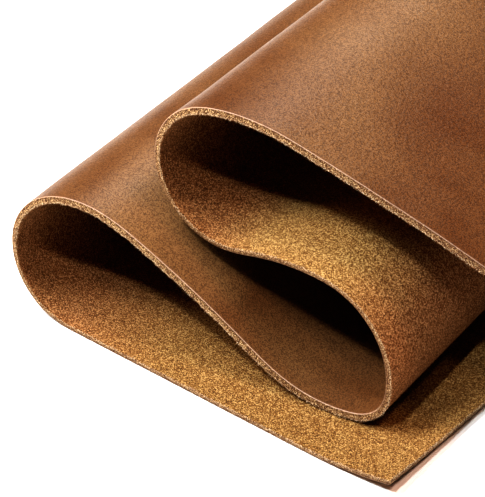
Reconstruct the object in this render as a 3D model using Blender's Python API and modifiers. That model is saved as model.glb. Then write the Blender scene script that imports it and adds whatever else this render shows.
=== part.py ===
"""One cut sheet of thick leather, lying loosely folded to and fro in four layers.

The sheet is a rectangle that is only bent, never stretched. Its folds are rolls, open at both
ends, that run parallel to the Y axis, a few degrees out of square with the cut edges. So one
section across the folds gives the whole shape, and each point of the flat sheet is found by how
far along that section it lies. The sheet starts at its front right corner, runs left along the
surface with the rough flesh side up, and turns over at each fold. Units are metres.
"""
import math

import bpy
import numpy as np

MM = 0.001

# The flat sheet, as it was cut
SHEET_LENGTH = 610 * MM
SHEET_WIDTH = 305 * MM
THICKNESS = 2.0 * MM
FOLD_SKEW = math.radians(3.64)

# The section across the folds, from the front end of the sheet to its free end. A positive turn
# rolls the sheet over to the right, a negative one to the left. The free end takes what length is
# left, and this turn is spread along it.
SECTION = (
    # stretch, length in mm, turn in degrees
    ("bottom layer", 136, 0),
    ("first fold, lift", 7, 29),
    ("first fold, back", 52, 141),
    ("first fold, top", 21, 38),
    ("second layer", 52, 10),
    ("second layer, foot", 37, -56),
    ("second fold, heel", 4, -52),
    ("second fold, front", 28, -62),
    ("second fold, top", 19, -45),
    ("third layer", 29, -22),
    ("third fold, lift", 33, 86),
    ("third fold, back", 34, 103),
    ("third fold, top", 27, 27),
    ("top layer", 63, 4),
)
FREE_END_TURN = 14

# Thick leather can't change its bend at once, so each change is spread over this length
BEND_EASE = 14 * MM
WALK_STEP = 0.5 * MM

# The front right corner is curled up from the surface
CURL_LIFT = 3.8 * MM
CURL_REACH_ALONG = 30 * MM
CURL_REACH_ACROSS = 70 * MM

# The mesh: even steps along the sheet, and closer steps across it near its front edge
CELLS_ALONG = 152
CELLS_ACROSS = 8
FRONT_CROWDING = 1.8

GRAIN_BROWN = (0.275, 0.105, 0.038, 1)
FLESH_TAN = (0.420, 0.205, 0.060, 1)
EDGE_BROWN = (0.330, 0.150, 0.060, 1)


def clear_scene():
    for item in list(bpy.data.objects):
        bpy.data.objects.remove(item, do_unlink=True)


def leather(name, colour, roughness):
    """A plain finish for one face of the leather."""
    material = bpy.data.materials.new(name)
    material.use_nodes = True
    shader = material.node_tree.nodes["Principled BSDF"]
    shader.inputs["Base Color"].default_value = colour
    shader.inputs["Roughness"].default_value = roughness
    shader.inputs["Metallic"].default_value = 0
    material.diffuse_color = colour
    return material


def section_span():
    """The lengths along the section at which the sheet starts and ends."""
    start = -SHEET_WIDTH * math.sin(FOLD_SKEW)
    end = SHEET_LENGTH * math.cos(FOLD_SKEW)
    return start, end


def headings(length):
    """The way the sheet heads at each length, in radians: 0 is left, a quarter turn is up."""
    start, end = section_span()
    marks = [start]
    turned = [0]
    for name, stretch, turn in SECTION:
        marks.append(marks[-1] + stretch * MM)
        turned.append(turned[-1] + turn)
    marks.append(end)
    turned.append(turned[-1] + FREE_END_TURN)
    shifts = np.linspace(-BEND_EASE / 2, BEND_EASE / 2, 29)
    eased = [np.interp(length + shift, marks, turned) for shift in shifts]
    return np.radians(np.mean(eased, axis=0))


def walk_section():
    """Walk the section in short steps, and return each step's length, X and Z."""
    start, end = section_span()
    length = np.arange(start, end + WALK_STEP, WALK_STEP)
    heading = headings(length)
    middle = (heading[1:] + heading[:-1]) / 2
    x = np.append(0, np.cumsum(-np.cos(middle))) * WALK_STEP - start
    z = np.append(0, np.cumsum(np.sin(middle))) * WALK_STEP + THICKNESS / 2
    return length, x, z


def corner_curl(along, across):
    """How far the front right corner lifts, zero outside a line cut across that corner."""
    reach = 1 - along / CURL_REACH_ALONG - across / CURL_REACH_ACROSS
    return CURL_LIFT * max(reach, 0) ** 2


def folded_sheet(name):
    """A flat grid whose points are laid along the section, then given the leather's thickness."""
    bpy.ops.mesh.primitive_grid_add(x_subdivisions=CELLS_ALONG, y_subdivisions=CELLS_ACROSS, size=1)
    sheet = bpy.context.object
    sheet.name = name
    sheet.data.name = name
    length, x, z = walk_section()
    for vertex in sheet.data.vertices:
        along = (vertex.co.x + 0.5) * SHEET_LENGTH
        across = (vertex.co.y + 0.5) ** FRONT_CROWDING * SHEET_WIDTH
        here = along * math.cos(FOLD_SKEW) - across * math.sin(FOLD_SKEW)
        vertex.co.x = np.interp(here, length, x)
        vertex.co.y = along * math.sin(FOLD_SKEW) + across * math.cos(FOLD_SKEW)
        vertex.co.z = np.interp(here, length, z) + corner_curl(along, across)
    sheet.data.shade_smooth()
    wall = sheet.modifiers.new("thickness", "SOLIDIFY")
    wall.thickness = THICKNESS
    wall.offset = 0
    wall.use_even_offset = True
    wall.material_offset = 1
    wall.material_offset_rim = 2
    return sheet


def stand_on_origin(sheet):
    """Move the sheet so that the origin is under the middle of its bounding box."""
    evaluated = sheet.evaluated_get(bpy.context.evaluated_depsgraph_get())
    corners = np.array([corner[:] for corner in evaluated.bound_box])
    low = corners.min(axis=0)
    high = corners.max(axis=0)
    sheet.location = (-(low[0] + high[0]) / 2, -(low[1] + high[1]) / 2, -low[2])


clear_scene()
collection = bpy.data.collections.new("leather sheet")
bpy.context.scene.collection.children.link(collection)
layer = bpy.context.view_layer.layer_collection.children[collection.name]
bpy.context.view_layer.active_layer_collection = layer

sheet = folded_sheet("leather_sheet")
sheet.data.materials.append(leather("smooth grain side", GRAIN_BROWN, 0.42))
sheet.data.materials.append(leather("rough flesh side", FLESH_TAN, 0.95))
sheet.data.materials.append(leather("raw cut edge", EDGE_BROWN, 0.85))
stand_on_origin(sheet)
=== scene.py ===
"""The looks of a folded sheet of thick brown leather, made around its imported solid."""
import math

import bmesh
import bpy
import numpy as np
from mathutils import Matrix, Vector, noise


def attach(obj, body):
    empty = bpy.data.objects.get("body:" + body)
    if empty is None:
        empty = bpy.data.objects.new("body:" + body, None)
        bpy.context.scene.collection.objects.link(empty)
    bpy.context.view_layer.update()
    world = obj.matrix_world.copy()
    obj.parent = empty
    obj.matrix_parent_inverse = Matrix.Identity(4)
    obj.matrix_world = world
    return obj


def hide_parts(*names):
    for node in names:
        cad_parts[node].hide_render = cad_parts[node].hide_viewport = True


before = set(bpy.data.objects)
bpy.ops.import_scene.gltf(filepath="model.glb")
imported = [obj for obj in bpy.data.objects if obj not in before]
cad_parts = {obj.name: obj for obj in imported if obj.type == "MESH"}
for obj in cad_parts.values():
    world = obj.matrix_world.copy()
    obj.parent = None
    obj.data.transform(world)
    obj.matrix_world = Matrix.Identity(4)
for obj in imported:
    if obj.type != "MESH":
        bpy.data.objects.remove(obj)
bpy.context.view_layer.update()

# The leather sheet
# One rectangle cut from an oil-dressed cowhide, 2 mm thick: smooth grain on one side, suede-like
# flesh on the other. It lies grain down, rolled over three times, and is only bent, not stretched.

MM = 0.001
SHEET_LENGTH = 610 * MM
SHEET_WIDTH = 305 * MM
THICKNESS = 2.0 * MM
FOLD_SKEW = math.radians(3.64)

# The section across the folds, as the solid has it. A positive turn rolls the sheet over to the
# right, a negative one to the left, and the free end takes what length is left.
SECTION = (
    # stretch, length in mm, turn in degrees
    ("bottom layer", 136, 0),
    ("first fold, lift", 7, 29),
    ("first fold, back", 52, 141),
    ("first fold, top", 21, 38),
    ("second layer", 52, 10),
    ("second layer, foot", 37, -56),
    ("second fold, heel", 4, -52),
    ("second fold, front", 28, -62),
    ("second fold, top", 19, -45),
    ("third layer", 29, -22),
    ("third fold, lift", 33, 86),
    ("third fold, back", 34, 103),
    ("third fold, top", 27, 27),
    ("top layer", 63, 4),
)
FREE_END_TURN = 14

# The turns are eased over this length, as an average of so many copies of the section
BEND_EASE = 14 * MM
EASE_COPIES = 29
WALK_STEP = 0.5 * MM

# The front corner of the bottom layer lifts a little
CURL_LIFT = 3.8 * MM
CURL_REACH_ALONG = 30 * MM
CURL_REACH_ACROSS = 70 * MM

# How closely the slab is divided: even steps along it, and across it steps that start fine at
# each long edge and widen towards the middle
CELLS_ALONG = 1120
FINE_STEP = 0.8 * MM
STEP_GROWTH = 1.35
WIDEST_STEP = 14 * MM
SAME_PLACE = 1e-6

# The cut edge from the grain down to the flesh: how deep each row of points lies, as a share of
# the thickness, and how far it draws back from the cut
EDGE_ROWS = (
    # depth share, set-back in mm
    (0.00, 0.16),
    (0.09, 0.03),
    (0.30, 0.00),
    (0.52, 0.02),
    (0.74, 0.00),
    (0.92, 0.04),
    (1.00, 0.20),
)
FRAY_GRAIN = 0.05 * MM
FRAY_FLESH = 0.30 * MM
FRAY_PITCH = 1.0 * MM
FRAY_FLATTENED = 1.6
FINE_FRAY = 2.3
FINE_FRAY_SHARE = 0.7

# The knife leaned over, so the flesh side reaches further out than the grain, mostly on the long
# edges
LEAN_LONG_EDGES = 0.50 * MM
LEAN_ENDS = 0.30 * MM

# Slow hills that the hide keeps after it is unrolled, held flat where the sheet touches
HILL_HEIGHT = 0.40 * MM
HILL_PITCH = 62 * MM
BROAD_HILL_SHARE = 1.3
BROAD_HILL_SLICE = 3.7
SMALL_HILLS = 2.7
SMALL_HILL_SHARE = 0.5
SMALL_HILL_SLICE = 9.1
HILL_STRENGTH = (
    # length along the section in mm, share of the height
    (110, 0.0),
    (170, 1.0),
    (240, 1.0),
    (262, 0.0),
    (300, 0.0),
    (330, 1.0),
)


def section_line():
    """Walk the section, and return length, X, Z and heading for each step of the middle line."""
    start = -SHEET_WIDTH * math.sin(FOLD_SKEW)
    end = SHEET_LENGTH * math.cos(FOLD_SKEW)
    marks = [start]
    turned = [0]
    for name, stretch, turn in SECTION:
        marks.append(marks[-1] + stretch * MM)
        turned.append(turned[-1] + turn)
    marks.append(end)
    turned.append(turned[-1] + FREE_END_TURN)
    length = np.arange(start, end + WALK_STEP, WALK_STEP)
    shifts = np.linspace(-BEND_EASE / 2, BEND_EASE / 2, EASE_COPIES)
    heading = np.radians(np.mean([np.interp(length + shift, marks, turned) for shift in shifts], axis=0))
    middle = (heading[1:] + heading[:-1]) / 2
    x = np.append(0, np.cumsum(-np.cos(middle))) * WALK_STEP - start
    z = np.append(0, np.cumsum(np.sin(middle))) * WALK_STEP + THICKNESS / 2
    return length, x, z, heading


def across_marks():
    """Places across the sheet, from the front edge to the back one, in metres."""
    steps = [FINE_STEP]
    while sum(steps) < SHEET_WIDTH / 2 - WIDEST_STEP:
        steps.append(min(steps[-1] * STEP_GROWTH, WIDEST_STEP))
    half = np.cumsum([0] + steps)
    half = half * (SHEET_WIDTH / 2 / half[-1])
    return np.concatenate([half, SHEET_WIDTH - half[-2::-1]])


def slab(along, across, depth):
    """A closed slab in flat coordinates: along, across and height over the middle of the leather.

    Its six faces are grids that share their rims, and each face has its side's material number:
    0 for the grain, 1 for the flesh and 2 for the cut edges.
    """
    mesh = bmesh.new()
    corners = (along, across, depth)
    sides = (
        # the two directions that the grid runs in, the one it faces, at its end or start, material
        (0, 1, 2, -1, 0),
        (1, 0, 2, 0, 1),
        (1, 2, 0, -1, 2),
        (2, 1, 0, 0, 2),
        (2, 0, 1, -1, 2),
        (0, 2, 1, 0, 2),
    )
    for first, second, faced, end, material in sides:
        rows = []
        for u in corners[first]:
            row = []
            for v in corners[second]:
                place = [0, 0, 0]
                place[first] = u
                place[second] = v
                place[faced] = corners[faced][end]
                row.append(mesh.verts.new(place))
            rows.append(row)
        for row, next_row in zip(rows, rows[1:]):
            for k in range(len(row) - 1):
                face = mesh.faces.new((row[k], next_row[k], next_row[k + 1], row[k + 1]))
                face.material_index = material
                face.smooth = True
    bmesh.ops.remove_doubles(mesh, verts=mesh.verts, dist=SAME_PLACE)
    made = bpy.data.meshes.new("leather_skin")
    mesh.to_mesh(made)
    mesh.free()
    return made


def hills(along, across):
    """The height of the slow hills at a place on the flat sheet, from about -1 to 1."""
    u = along / HILL_PITCH
    v = across / HILL_PITCH
    broad = noise.noise(Vector((u, v, BROAD_HILL_SLICE)))
    small = noise.noise(Vector((u * SMALL_HILLS, v * SMALL_HILLS, SMALL_HILL_SLICE)))
    return BROAD_HILL_SHARE * broad + SMALL_HILL_SHARE * small


def fray(along, across, height):
    """How far the cut fibres stand out of the edge at a place on it, from about -1 to 1."""
    place = Vector((along, across, height * FRAY_FLATTENED)) / FRAY_PITCH
    return noise.noise(place) + FINE_FRAY_SHARE * noise.noise(place * FINE_FRAY)


def fold(flat):
    """Lay flat points along the section, and return them with each one's way to the flesh side."""
    along, across, height = flat.T.copy()
    share = 0.5 - height / THICKNESS
    set_back = np.interp(share, *zip(*EDGE_ROWS)) * MM
    reach = FRAY_GRAIN + (FRAY_FLESH - FRAY_GRAIN) * share ** 2
    sides = ((0, along, SHEET_LENGTH, LEAN_ENDS), (1, across, SHEET_WIDTH, LEAN_LONG_EDGES))
    for axis, values, size, lean in sides:
        for edge, outward in ((0, -1), (size, 1)):
            for k in np.flatnonzero(np.abs(flat[:, axis] - edge) < SAME_PLACE):
                stand = fray(*flat[k]) * reach[k] - set_back[k] + lean * (share[k] - 0.5)
                values[k] += outward * stand
    length, x, z, heading = section_line()
    here = along * math.cos(FOLD_SKEW) - across * math.sin(FOLD_SKEW)
    turn = np.interp(here, length, heading)
    strength = np.interp(here / MM, *zip(*HILL_STRENGTH))
    lift = np.array([hills(a, c) for a, c in zip(along, across)]) * strength * HILL_HEIGHT
    off = height + lift
    curl = np.maximum(1 - along / CURL_REACH_ALONG - across / CURL_REACH_ACROSS, 0) ** 2 * CURL_LIFT
    to_flesh = np.stack([np.sin(turn), np.zeros_like(turn), np.cos(turn)], axis=1)
    middle = np.stack([
        np.interp(here, length, x),
        along * math.sin(FOLD_SKEW) + across * math.cos(FOLD_SKEW),
        np.interp(here, length, z) + curl,
    ], axis=1)
    return middle - to_flesh * off[:, None], to_flesh


depth_marks = [THICKNESS * (0.5 - share) for share, set_back in reversed(EDGE_ROWS)]
sheet_mesh = slab(np.linspace(0, SHEET_LENGTH, CELLS_ALONG + 1), across_marks(), depth_marks)
flat_points = np.empty(len(sheet_mesh.vertices) * 3, np.float32)
sheet_mesh.vertices.foreach_get("co", flat_points)
flat_points = flat_points.reshape(-1, 3).astype(float)
folded_points, to_flesh = fold(flat_points)

# The solid has its origin under the middle of its box, so the slab is moved to the same place
_, line_x, _, line_heading = section_line()
offset_x = line_x - np.sin(line_heading) * THICKNESS / 2
inset_x = line_x + np.sin(line_heading) * THICKNESS / 2
box_middle_x = (min(offset_x.min(), inset_x.min()) + max(offset_x.max(), inset_x.max())) / 2
box_middle_y = (SHEET_LENGTH * math.sin(FOLD_SKEW) + SHEET_WIDTH * math.cos(FOLD_SKEW)) / 2
SHEET_PLACE = Vector((-box_middle_x, -box_middle_y, 0))
folded_points += np.array(SHEET_PLACE)
sheet_mesh.vertices.foreach_set("co", folded_points.astype(np.float32).ravel())
for label, values in (("flat_place", flat_points), ("to_flesh", to_flesh)):
    kept = sheet_mesh.attributes.new(label, "FLOAT_VECTOR", "POINT")
    kept.data.foreach_set("vector", values.astype(np.float32).ravel())
sheet_mesh.update()

sheet = bpy.data.objects.new("leather_sheet_skin", sheet_mesh)
bpy.context.scene.collection.objects.link(sheet)


# The grain side
# Oil and wax leave the skin side smooth and semi-matt, with faint pores and pebbles under a
# millimetre wide, and with cloudy patches where the oil has moved.

WANDER_PITCH_MM = 70
RAMP_SPAN_MM = 600


class Wire:
    """An output of a node, or a bare tree. Sums on it add Math nodes to its tree."""

    def __init__(self, tree, socket=None):
        self.tree = tree
        self.socket = socket

    def node(self, kind, settings=None, inputs=None, output=0):
        """Add a node, set it up, fill or link its sockets, and return one of its outputs."""
        made = self.tree.nodes.new(kind)
        settings = dict(settings or {})
        stops = settings.pop("stops", ())
        for name, value in settings.items():
            setattr(made, name, value)
        for k, (place, colour) in enumerate(stops):
            ramp = made.color_ramp.elements
            stop = ramp[k] if k < len(ramp) else ramp.new(place)
            stop.position = place
            stop.color = (*colour, 1)
        for name, value in (inputs or {}).items():
            if isinstance(value, Wire):
                self.tree.links.new(value.socket, made.inputs[name])
            else:
                made.inputs[name].default_value = value
        return Wire(self.tree, made.outputs[output])

    def math(self, operation, *values):
        made = dict(enumerate(values))
        return self.node("ShaderNodeMath", {"operation": operation}, made)

    def __add__(self, other):
        return self.math("ADD", self, other)

    def __sub__(self, other):
        return self.math("SUBTRACT", self, other)

    def __mul__(self, other):
        return self.math("MULTIPLY", self, other)

    def __truediv__(self, other):
        return self.math("DIVIDE", self, other)

    def __rsub__(self, other):
        return self.math("SUBTRACT", other, self)

    __radd__ = __add__
    __rmul__ = __mul__

    def within(self, low, high):
        """0 at low, 1 at high, eased between them."""
        span = {"Value": self, "From Min": low, "From Max": high}
        return self.node("ShaderNodeMapRange", {"interpolation_type": "SMOOTHSTEP"}, span)


def flat_millimetres(tree, stretch=(1, 1, 1)):
    """A point's place on the flat sheet in millimetres: along, across and through the leather."""
    place = Wire(tree).node("ShaderNodeAttribute", {"attribute_name": "flat_place"}, output="Vector")
    scale = tuple(part / MM for part in stretch)
    return place.node("ShaderNodeVectorMath", {"operation": "MULTIPLY"}, {0: place, 1: scale})


def grain(place, size, detail=2, roughness=0.5):
    """Cloudy noise whose patches are about that many millimetres across."""
    inputs = {"Vector": place, "Scale": 1 / size, "Detail": detail, "Roughness": roughness}
    return place.node("ShaderNodeTexNoise", {"noise_dimensions": "3D"}, inputs)


def fibre_ends(place, size):
    """One random number for each little bundle of fibre ends, about that many millimetres wide."""
    inputs = {"Vector": place, "Scale": 1 / size}
    tone = place.node("ShaderNodeTexVoronoi", {"feature": "F1"}, inputs, output="Color")
    return place.node("ShaderNodeSeparateXYZ", inputs={0: tone})


def along_section(place, rows, wander=0):
    """A value that changes along the section.

    A row says where, then its length along the section in mm, and the value there. The places
    wander to and fro by up to about half of the given millimetres.
    """
    here = place.node("ShaderNodeVectorMath", {"operation": "DOT_PRODUCT"},
                      {0: place, 1: (math.cos(FOLD_SKEW), -math.sin(FOLD_SKEW), 0)}, output="Value")
    if wander:
        here = here + (grain(place, WANDER_PITCH_MM) - 0.5) * wander
    stops = [(length / RAMP_SPAN_MM, (value, value, value)) for where, length, value in rows]
    return place.node("ShaderNodeValToRGB", {"stops": stops}, {"Fac": here / RAMP_SPAN_MM})


def mix(share, first, second, blend="MIX"):
    """Mix two colours, which are the node's sockets 6 and 7. Either may be a wire or three numbers."""
    colours = [c if isinstance(c, Wire) else (*c, 1) for c in (first, second)]
    inputs = {"Factor": share, 6: colours[0], 7: colours[1]}
    return share.node("ShaderNodeMix", {"data_type": "RGBA", "blend_type": blend}, inputs, output=2)


def finish_leather(colour, roughness, height, height_mm, **fixed):
    """Close a leather material: link its colour, roughness and bump, and set what is constant."""
    tree = colour.tree
    shader = tree.nodes["Principled BSDF"]
    for socket, value in fixed.items():
        shader.inputs[socket.replace("_", " ")].default_value = value
    bump = {"Height": height, "Strength": 1, "Distance": height_mm * MM}
    normal = colour.node("ShaderNodeBump", inputs=bump)
    tree.links.new(colour.socket, shader.inputs["Base Color"])
    tree.links.new(roughness.socket, shader.inputs["Roughness"])
    tree.links.new(normal.socket, shader.inputs["Normal"])


def new_material(name):
    material = bpy.data.materials.new(name)
    material.use_nodes = True
    return material


WAXED_HIDE_AND_SHADE = (0.114, 0.040, 0.0125)
PALE_HIDE_AND_LIGHT = (0.258, 0.147, 0.068)
OIL_PATCH = (0.236, 0.124, 0.058)
PORE = (0.030, 0.010, 0.004)
WAX_LIGHT_AND_SHADE_TONES = (
    # where, length along the section in mm, tone from 0 for the darkest to 1 for the palest: partly the
    # hide's own wax tone, partly painted light and shade
    ("first fold, top", 176, 0.5),
    ("second layer, start", 200, 1.0),
    ("second layer, middle", 218, 0.8),
    # painted shadow of the third fold on the second layer's lower part
    ("second layer, lower part", 234, 0.4),
    # from the second layer's foot to the start of the third fold's back the grain lies inside the second
    # roll, where painted light lightens it
    ("second layer, foot", 256, 0.7),
    ("second layer, end of the foot", 280, 0.5),
    ("third fold, start of its back", 400, 0.9),
    ("third fold, end of its back", 428, 0.4),
    ("third fold, end of its top", 456, 0.7),
    ("top layer, middle", 492, 0.3),
)
TONE_WANDER_MM = 60
CLOUD_MM = 42
CLOUD_SHARE = 0.65
OIL_PATCH_MM = 14
PORE_MM = 0.23
PEBBLE_MM = 0.85
FINE_GRAIN_MM = 0.26
GRAIN_RELIEF_MM = 0.07


def grain_side():
    material = new_material("oiled_grain")
    tree = material.node_tree
    place = flat_millimetres(tree)
    clouds = grain(place, CLOUD_MM, 3, 0.55)
    # the tone along the section holds painted light and shade as well as the hide's own wax tone
    tone = along_section(place, WAX_LIGHT_AND_SHADE_TONES, TONE_WANDER_MM) + (clouds - 0.5) * CLOUD_SHARE
    patches = grain(flat_millimetres(tree, (0.45, 1, 1)), OIL_PATCH_MM, 3, 0.6).within(0.3, 0.72)
    speckle = fibre_ends(place, PORE_MM)
    pebble = place.node(
        "ShaderNodeTexVoronoi",
        {"feature": "SMOOTH_F1"},
        {"Vector": place, "Scale": 1 / PEBBLE_MM, "Smoothness": 0.55},
        output="Distance",
    )
    colour = mix(tone.within(0, 1), WAXED_HIDE_AND_SHADE, PALE_HIDE_AND_LIGHT)
    colour = mix(patches * 0.18, colour, OIL_PATCH)
    colour = mix(speckle.within(0.25, 0.8) * 0.62, colour, PORE)
    roughness = 0.35 + patches * 0.05 + speckle * 0.08
    height = grain(place, FINE_GRAIN_MM, 1) * 0.8 - pebble * 0.8
    finish_leather(colour, roughness, height, GRAIN_RELIEF_MM, Specular_IOR_Level=0.36)
    return material


# The flesh side
# The underside of the hide is split and buffed to a short golden nap, with darker pits between
# the bundles of fibre. Painted light makes it palest on the third layer, painted shade darkens it from
# the third fold on, and a painted red shade tints it inside the first two folds and from the third fold
# on.

NAP_PIT = (0.040, 0.011, 0.0025)
NAP_BODY = (0.200, 0.101, 0.030)
NAP_TIP = (0.640, 0.455, 0.215)
NAP_PATCH = (0.258, 0.150, 0.058)
NAP_SHEEN = (0.95, 0.70, 0.40)
RED_SHADE_CAST = (1.00, 0.82, 0.90)
NAP_LIGHT_AND_SHADE = (
    # where, length along the section in mm, tone: painted light makes the third layer palest, and
    # painted shade darkens the flesh from the third fold on
    ("bottom layer", 0, 0.3),
    ("second fold, heel", 285, 0.5),
    ("second fold, end of its top", 330, 1.0),
    ("third layer, end", 360, 1.0),
    ("third fold, lift", 382, 0.0),
)
RED_SHADE_ON_NAP = (
    # where, length along the section in mm, share of the painted red shade
    ("bottom layer", 80, 0.0),
    ("bottom layer, end", 115, 1.0),
    ("second fold, front", 312, 1.0),
    ("second fold, end of its top", 334, 0.0),
    ("third layer, end", 362, 0.0),
    ("third fold, lift", 378, 1.0),
)
NAP_TONE_SPREAD = 0.12
NAP_TONE_SHIFT = 0.06
NAP_FIBRE_MM = 0.25
NAP_BUNDLE_MM = 0.26
TUFT_MM = 1.6
NAP_PATCH_MM = 24
NAP_RELIEF_MM = 0.24


def flesh_side():
    material = new_material("buffed_flesh")
    tree = material.node_tree
    place = flat_millimetres(tree)
    fibres = grain(flat_millimetres(tree, (1, 1.25, 1)), NAP_FIBRE_MM, 1)
    tufts = grain(place, TUFT_MM, 2, 0.6)
    patches = grain(place, NAP_PATCH_MM).within(0.3, 0.7)
    pile = fibre_ends(place, NAP_BUNDLE_MM) * 0.8 + fibres.within(0.36, 0.64) * 0.2
    # painted light pales the third layer, and painted shade darkens the flesh from the third fold on
    pile = pile + along_section(place, NAP_LIGHT_AND_SHADE) * NAP_TONE_SPREAD - NAP_TONE_SHIFT
    colour = place.node(
        "ShaderNodeValToRGB",
        {"stops": ((0, NAP_PIT), (0.5, NAP_BODY), (1, NAP_TIP))},
        {"Fac": pile},
    )
    colour = mix(patches * 0.10, colour, NAP_PATCH)
    # a painted red shade tints the flesh inside the first two folds and from the third fold on
    colour = mix(along_section(place, RED_SHADE_ON_NAP), colour, RED_SHADE_CAST, "MULTIPLY")
    roughness = 0.90 + pile * 0.06
    height = fibres + tufts * 0.05
    finish_leather(colour, roughness, height, NAP_RELIEF_MM, Sheen_Weight=0.15, Sheen_Roughness=0.5,
                   Sheen_Tint=(*NAP_SHEEN, 1), Specular_IOR_Level=0.2)
    return material


# The cut edges
# The knife leaves the tangled core of the hide bare: a thin tight line under the grain, whose pale
# colour is partly a painted highlight of the rim, then looser pale fibres that darken in the gaps
# between them.
# Painted shade darkens the edge at the second fold's front, and it grows darker towards the top layer's
# end.

EDGE_GAP = (0.046, 0.017, 0.006)
EDGE_BODY = (0.155, 0.079, 0.034)
EDGE_FIBRE = (0.690, 0.520, 0.300)
TIGHT_LINE_HIGHLIGHT = (0.460, 0.325, 0.245)
EDGE_SHADE_BROWN = (0.060, 0.020, 0.008)
EDGE_SHADE_AND_DARKENING = (
    # where, length along the section in mm, share of darkening: painted shade at the second fold's
    # front, and darker towards the top layer's end
    ("second layer, end of the foot", 284, 0.0),
    ("second fold, start of its front", 292, 0.3),
    ("second fold, end of its front", 312, 0.3),
    ("second fold, top", 320, 0.0),
    ("third fold, end of its back", 430, 0.0),
    ("top layer, end", 515, 0.4),
)
EDGE_FIBRE_MM = 0.36
EDGE_BUNDLE_MM = 0.24
EDGE_RELIEF_MM = 0.30

# Heights over the middle of the leather in mm, where the core ends and the tight line with its painted
# highlight starts
CORE_FADES = (0.0, 0.5)
TIGHT_LINE_HIGHLIGHT_FADES = (0.76, 0.88)


def cut_edge():
    material = new_material("raw_edge")
    tree = material.node_tree
    place = flat_millimetres(tree)
    fibres = grain(flat_millimetres(tree, (1, 1, 1.2)), EDGE_FIBRE_MM, 1)
    ends = fibre_ends(place, EDGE_BUNDLE_MM)
    height_over_middle = place.node("ShaderNodeSeparateXYZ", inputs={0: place}, output=2)
    skin = height_over_middle.within(*TIGHT_LINE_HIGHLIGHT_FADES)
    under_grain = height_over_middle.within(*CORE_FADES)
    pile = ends * 0.7 + fibres.within(0.36, 0.62) * 0.3 - under_grain * 0.1
    colour = place.node(
        "ShaderNodeValToRGB",
        {"stops": ((0, EDGE_GAP), (0.5, EDGE_BODY), (1, EDGE_FIBRE))},
        {"Fac": pile},
    )
    # the tight line's pale colour is partly a painted highlight of the grain rim
    colour = mix(skin * 0.75, colour, TIGHT_LINE_HIGHLIGHT)
    # painted shade on the edge at the second fold's front, and darker towards the top layer's end
    colour = mix(along_section(place, EDGE_SHADE_AND_DARKENING), colour, EDGE_SHADE_BROWN)
    roughness = 0.86 - skin * 0.40
    finish_leather(colour, roughness, fibres, EDGE_RELIEF_MM, Specular_IOR_Level=0.4)
    return material


for side in (grain_side(), flesh_side(), cut_edge()):
    sheet_mesh.materials.append(side)

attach(sheet, "root")
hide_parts("leather_sheet")

# The loose fibres
# Cutting and buffing leave short ends of fibre standing: a pale fringe along the flesh rim of the
# cut, and a thin scatter of golden ones over the flesh side itself.

EDGE_FIBRES = {
    "Fibres each square metre": 17e6,
    "Bare share of the grain side": 0.80,
    "Length": 0.62 * MM,
    "Width": 0.080 * MM,
    "Bend to the flesh side": 1.0,
    "Stray": 1.6,
    "Seed": 7,
}
FLESH_FIBRES = {
    "Fibres each square metre": 0.20e6,
    "Bare share of the grain side": 0.0,
    "Length": 0.50 * MM,
    "Width": 0.065 * MM,
    "Bend to the flesh side": 0.0,
    "Stray": 1.6,
    "Seed": 19,
}
SHORTEST_FIBRE = 0.35
LONGEST_FIBRE = 1.3
GROWTH_SEED = 3
FIBRE_TONES_A_METRE = 2200


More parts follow.
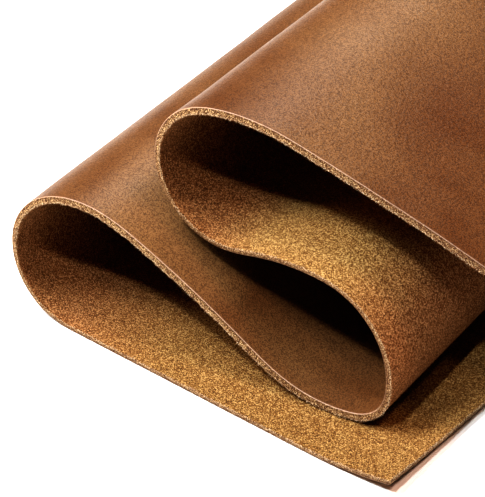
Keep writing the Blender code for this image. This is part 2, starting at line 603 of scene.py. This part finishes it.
def fibre_tree(name):
    """A tree that stands thin cones on one material's faces of the leather.

    Sockets 2 and 3 of the random growth are its least and greatest share of the length.
    """
    tree = bpy.data.node_groups.new(name, "GeometryNodeTree")
    sockets = (
        ("Sheet", "NodeSocketObject"),
        ("Side", "NodeSocketMaterial"),
        ("Fibre finish", "NodeSocketMaterial"),
        ("Fibres each square metre", "NodeSocketFloat"),
        ("Bare share of the grain side", "NodeSocketFloat"),
        ("Length", "NodeSocketFloat"),
        ("Width", "NodeSocketFloat"),
        ("Bend to the flesh side", "NodeSocketFloat"),
        ("Stray", "NodeSocketFloat"),
        ("Seed", "NodeSocketInt"),
    )
    for label, kind in sockets:
        tree.interface.new_socket(label, in_out="INPUT", socket_type=kind)
    tree.interface.new_socket("Geometry", in_out="OUTPUT", socket_type="NodeSocketGeometry")
    given = tree.nodes.new("NodeGroupInput")
    asked = {label: Wire(tree, given.outputs[label]) for label, kind in sockets}
    start = Wire(tree)
    leather = start.node("GeometryNodeObjectInfo", {"transform_space": "ORIGINAL"},
                         {"Object": asked["Sheet"]}, output="Geometry")
    chosen = start.node("GeometryNodeMaterialSelection", inputs={"Material": asked["Side"]})
    stored = ("GeometryNodeInputNamedAttribute", {"data_type": "FLOAT_VECTOR"})
    flat = start.node(*stored, {"Name": "flat_place"})
    height = start.node("ShaderNodeSeparateXYZ", inputs={0: flat}, output=2)
    share = 0.5 - height / THICKNESS
    grows = start.math("GREATER_THAN", share, asked["Bare share of the grain side"])
    scattered = start.node(
        "GeometryNodeDistributePointsOnFaces",
        {"distribute_method": "RANDOM"},
        {"Mesh": leather, "Selection": chosen, "Density": asked["Fibres each square metre"] * grows,
         "Seed": asked["Seed"]},
        output="Points",
    )
    upright = Wire(tree, scattered.socket.node.outputs["Normal"])
    astray = start.node(
        "FunctionNodeRandomValue",
        {"data_type": "FLOAT_VECTOR"},
        {"Min": (-1, -1, -1), "Max": (1, 1, 1), "Seed": asked["Seed"]},
    )
    to_flesh = start.node(*stored, {"Name": "to_flesh"})
    pointed = upright
    for way, amount in ((astray, asked["Stray"]), (to_flesh, asked["Bend to the flesh side"])):
        part = start.node("ShaderNodeVectorMath", {"operation": "SCALE"}, {0: way, "Scale": amount})
        pointed = start.node("ShaderNodeVectorMath", {"operation": "ADD"}, {0: pointed, 1: part})
    turned = start.node("FunctionNodeAlignRotationToVector", {"axis": "Z"}, {"Vector": pointed})
    growth = start.node(
        "FunctionNodeRandomValue",
        {"data_type": "FLOAT"},
        {2: SHORTEST_FIBRE, 3: LONGEST_FIBRE, "Seed": GROWTH_SEED},
        output=1,
    )
    stretch = start.node(
        "ShaderNodeCombineXYZ",
        inputs={0: asked["Width"], 1: asked["Width"], 2: asked["Length"] * growth},
    )
    spike = start.node(
        "GeometryNodeMeshCone",
        inputs={"Vertices": 3, "Radius Top": 0, "Radius Bottom": 1, "Depth": 1},
    )
    standing = start.node(
        "GeometryNodeInstanceOnPoints",
        inputs={"Points": scattered, "Instance": spike, "Rotation": turned, "Scale": stretch},
    )
    real = start.node("GeometryNodeRealizeInstances", inputs={0: standing})
    finished = start.node("GeometryNodeSetMaterial", inputs={0: real, "Material": asked["Fibre finish"]})
    ends = tree.nodes.new("NodeGroupOutput")
    tree.links.new(finished.socket, ends.inputs[0])
    return tree


def fibre_finish(name, dark, pale):
    """Matt fibre, a little different from one place to the next."""
    material = new_material(name)
    tree = material.node_tree
    place = Wire(tree).node("ShaderNodeTexCoord", output="Object")
    tone = place.node(
        "ShaderNodeTexNoise",
        inputs={"Vector": place, "Scale": FIBRE_TONES_A_METRE, "Detail": 1},
    )
    colour = mix(tone.within(0.35, 0.65), dark, pale)
    shader = tree.nodes["Principled BSDF"]
    tree.links.new(colour.socket, shader.inputs["Base Color"])
    shader.inputs["Roughness"].default_value = 0.8
    shader.inputs["Specular IOR Level"].default_value = 0.3
    return material


def stand_fibres(name, side, finish, sizes):
    """Grow fibres on one side of the sheet, and return them as a plain mesh object."""
    tree = fibre_tree(name + "_tree")
    grower = bpy.data.objects.new(name + "_grower", bpy.data.meshes.new(name + "_grower"))
    bpy.context.scene.collection.objects.link(grower)
    growing = grower.modifiers.new("fibres", "NODES")
    growing.node_group = tree
    values = {"Sheet": sheet, "Side": side, "Fibre finish": finish, **sizes}
    for socket in tree.interface.items_tree:
        if socket.in_out == "INPUT":
            growing[socket.identifier] = values[socket.name]
    evaluated = grower.evaluated_get(bpy.context.evaluated_depsgraph_get())
    mesh = bpy.data.meshes.new_from_object(evaluated)
    mesh.name = name
    fibres = bpy.data.objects.new(name, mesh)
    bpy.context.scene.collection.objects.link(fibres)
    bpy.data.objects.remove(grower, do_unlink=True)
    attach(fibres, "root")
    return fibres


_, flesh_finish, edge_finish = sheet_mesh.materials
edge_fibres = stand_fibres(
    "cut_edge_fibres", edge_finish,
    fibre_finish("pale_fibre", (0.28, 0.155, 0.07), (0.85, 0.71, 0.52)), EDGE_FIBRES)
flesh_fibres = stand_fibres(
    "flesh_fibres", flesh_finish,
    fibre_finish("golden_fibre", (0.31, 0.165, 0.06), (0.61, 0.45, 0.24)), FLESH_FIBRES)

# The surface
# A plain pale table, wide enough to fill every view, just under the sheet.

FLOOR_SIZE = 12
FLOOR_GAP = 0.2 * MM
FLOOR_WHITE = (0.94, 0.94, 0.94, 1)

bpy.ops.mesh.primitive_plane_add(size=FLOOR_SIZE, location=(0, 0, -FLOOR_GAP))
floor = bpy.context.object
floor.name = "pale_floor"
floor_paint = new_material("pale_floor_paint")
floor_shader = floor_paint.node_tree.nodes["Principled BSDF"]
floor_shader.inputs["Base Color"].default_value = FLOOR_WHITE
floor_shader.inputs["Roughness"].default_value = 0.9
floor.data.materials.append(floor_paint)

# The light
# A wide soft key and a higher lamp stand at the front left. A small lamp straight in front casts the
# top layer's shadow edge, a low warm lamp at the left reaches into the rolls, and others, warm too,
# stand at the right and behind. The picture has a firm contrast.

LAMP_DISTANCE = 1.6
LAMPS = (
    # name, turn from the front in degrees, height in degrees, width in metres, power in watts, colour
    ("key_lamp", -46, 51, 0.50, 15.2, (0.91, 0.98, 1.0)),
    ("high_lamp", -62, 66, 0.26, 7.6, (0.91, 0.98, 1.0)),
    ("front_lamp", -2, 56, 0.10, 9.4, (0.92, 0.98, 1.0)),
    ("front_right_lamp", 34, 58, 0.14, 2.6, (1.0, 0.80, 0.66)),
    ("low_lamp", -60, 7, 0.80, 11.5, (1.0, 0.58, 0.38)),
    ("right_lamp", 88, 68, 0.40, 6.4, (1.0, 0.64, 0.48)),
    ("back_lamp", -150, 50, 0.50, 7.2, (1.0, 0.94, 0.86)),
)
ROOM_WHITE = (1, 1, 1, 1)
ROOM_GLOW = 0.02


def add_lamp(name, turn, rise, width, power, colour):
    lamp = bpy.data.lights.new(name, "AREA")
    lamp.shape = "DISK"
    lamp.size = width
    lamp.energy = power
    lamp.color = colour
    holder = bpy.data.objects.new(name, lamp)
    turn = math.radians(turn)
    rise = math.radians(rise)
    away = Vector((math.sin(turn) * math.cos(rise), -math.cos(turn) * math.cos(rise), math.sin(rise)))
    holder.location = away * LAMP_DISTANCE
    holder.rotation_mode = "QUATERNION"
    holder.rotation_quaternion = away.to_track_quat("Z", "Y")
    bpy.context.scene.collection.objects.link(holder)


for row in LAMPS:
    add_lamp(*row)

world = bpy.data.worlds.new("pale_room")
world.use_nodes = True
room = world.node_tree.nodes["Background"]
room.inputs["Color"].default_value = ROOM_WHITE
room.inputs["Strength"].default_value = ROOM_GLOW
bpy.context.scene.world = world
bpy.context.scene.view_settings.view_transform = "Standard"
bpy.context.scene.view_settings.look = "Very High Contrast"

# The camera
# It looks down on the front edge from the right with a long lens, as the photograph does.

CAMERA_TURN = math.radians(34.68)
CAMERA_PITCH = math.radians(36.67)
CAMERA_DISTANCE = 592.7 * MM
CAMERA_AIM = Vector((-29.0, -161.5, 52.9)) * MM
CAMERA_LENS = 162.1
CAMERA_SENSOR = 36

camera_data = bpy.data.cameras.new("camera")
camera_data.lens = CAMERA_LENS
camera_data.sensor_width = CAMERA_SENSOR
camera = bpy.data.objects.new("camera", camera_data)
backward = Vector((
    math.sin(CAMERA_TURN) * math.cos(CAMERA_PITCH),
    -math.cos(CAMERA_TURN) * math.cos(CAMERA_PITCH),
    math.sin(CAMERA_PITCH),
))
camera.location = CAMERA_AIM + backward * CAMERA_DISTANCE
camera.rotation_euler = (math.pi / 2 - CAMERA_PITCH, 0, CAMERA_TURN)
bpy.context.scene.collection.objects.link(camera)
bpy.context.scene.camera = camera
